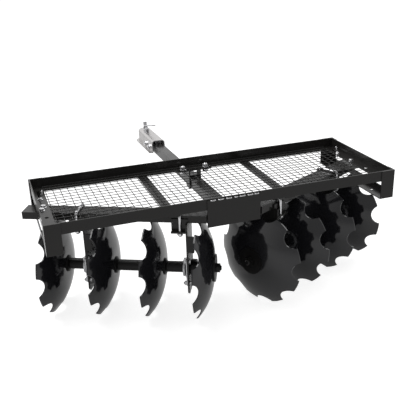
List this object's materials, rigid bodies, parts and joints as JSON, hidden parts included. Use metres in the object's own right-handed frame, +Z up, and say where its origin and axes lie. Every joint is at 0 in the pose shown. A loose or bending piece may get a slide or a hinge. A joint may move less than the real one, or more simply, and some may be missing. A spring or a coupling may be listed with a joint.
{
  "type": "disc harrow",
  "caption": "Towed disc harrow: two angled gangs of notched, dished discs under a low angle-iron frame with a wire-mesh weight tray, a square drawbar and a ball coupler.",
  "frame": {"origin": "on the ground below the middle of the whole machine", "axes": "+Y towards the hitch, +Z up, +X to the right seen from behind"},
  "size_m": [1.305, 1.2996, 0.4305],
  "materials": {
    "frame": "black semi-gloss powder coat",
    "mesh": "black coated welded wire",
    "disc": "glossy black paint on pressed steel",
    "axle": "black paint",
    "bearing": "zinc-plated pressed flange",
    "zinc": "bright zinc bolts",
    "coupler": "bright zinc plate"
  },
  "bodies": {
    "root": {"bearing_left_inner": "bearing", "bearing_left_outer": "bearing", "bearing_right_inner": "bearing", "bearing_right_outer": "bearing", "centre_plate": "frame", "coupler_body": "coupler", "coupler_bolts": "zinc", "coupler_latch": "zinc", "drawbar": "frame", "end_foot_left": "frame", "end_foot_right": "frame", "end_top_left": "frame", "end_top_right": "frame", "front_rail": "frame", "gang_beam_left": "frame", "gang_beam_right": "frame", "hanger_left_inner": "frame", "hanger_left_outer": "frame", "hanger_right_inner": "frame", "hanger_right_outer": "frame", "hitch_clamp": "frame", "mesh_cross_wires": "mesh", "mesh_long_wires": "mesh", "post_front_left": "frame", "post_front_right": "frame", "post_rear_left": "frame", "post_rear_right": "frame", "rear_rail": "frame", "tray_strap_left": "frame", "tray_strap_right": "frame", "u_bolts_left": "zinc", "u_bolts_right": "zinc"},
    "gang_left": {"axle_cap_left": "axle", "axle_left": "axle", "disc_left_1": "disc", "disc_left_2": "disc", "disc_left_3": "disc", "disc_left_4": "disc"},
    "gang_right": {"axle_cap_right": "axle", "axle_right": "axle", "disc_right_1": "disc", "disc_right_2": "disc", "disc_right_3": "disc", "disc_right_4": "disc"}
  },
  "joints": [
    {"name": "gang_left_spin", "type": "hinge", "parent": "root", "child": "gang_left", "pos_m": [-0.30348, -0.40117, 0.1715], "axis": [-0.8926, 0.4509, 0], "continuous": true},
    {"name": "gang_right_spin", "type": "hinge", "parent": "root", "child": "gang_right", "pos_m": [0.30348, -0.40117, 0.1715], "axis": [0.8926, 0.4509, 0], "continuous": true}
  ]
}
